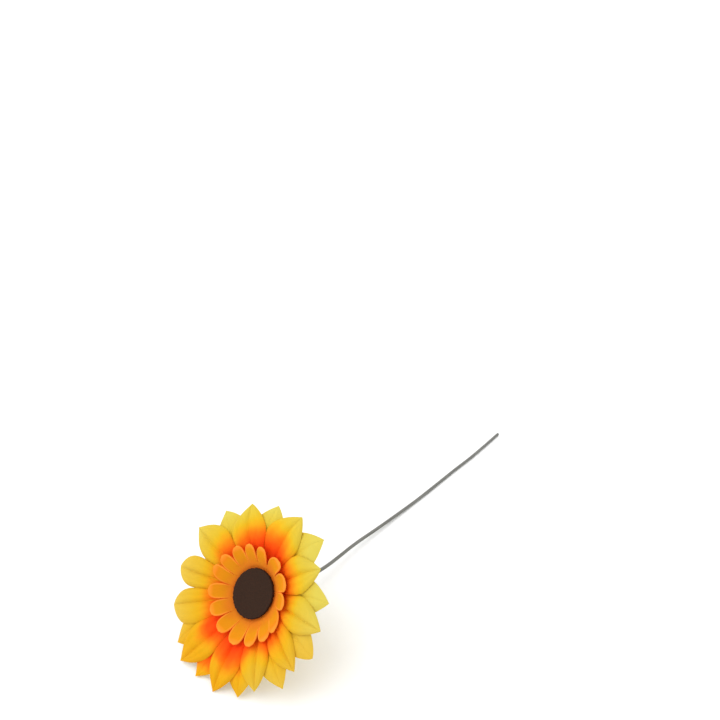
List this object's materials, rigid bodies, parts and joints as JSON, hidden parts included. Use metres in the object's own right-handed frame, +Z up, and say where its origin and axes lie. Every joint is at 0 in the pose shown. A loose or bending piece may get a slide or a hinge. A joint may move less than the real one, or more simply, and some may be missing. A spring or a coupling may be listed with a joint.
{
  "type": "artificial cut sunflower on a wire stem",
  "caption": "Artificial sunflower with layered foam petals round a dark seed disc, on a long coated wire stem that lies on the table.",
  "frame": {"origin": "the middle of the lying flower's footprint, on the surface it lies on", "axes": "+X runs along the stem from its cut end towards the flower head, which faces +X and up; +Z is up"},
  "size_m": [0.4646, 0.1444, 0.1064],
  "materials": {
    "seed_disc": "dark brown matte foam, flat face with a slightly ragged edge",
    "inner_petals": "orange foam sheet, matte, sprayed darker towards the base",
    "outer_petals": "yellow foam sheet, matte, sprayed orange towards the base",
    "leaves": "green matte sheet with pressed veins",
    "calyx": "moulded green plastic, satin",
    "washer": "zinc plated",
    "stem_coating": "grey plastic coating, satin",
    "stem_core": "bright drawn wire"
  },
  "bodies": {
    "root": {"seed_disc": "seed_disc", "inner_petal_ring": "inner_petals", "upper_petal_layer": "outer_petals", "lower_petal_layer": "outer_petals", "leaf_left": "leaves", "leaf_right": "leaves", "calyx_cap": "calyx", "retaining_washer": "washer", "stem_sleeve": "stem_coating", "stem_wire": "stem_core"}
  },
  "joints": []
}
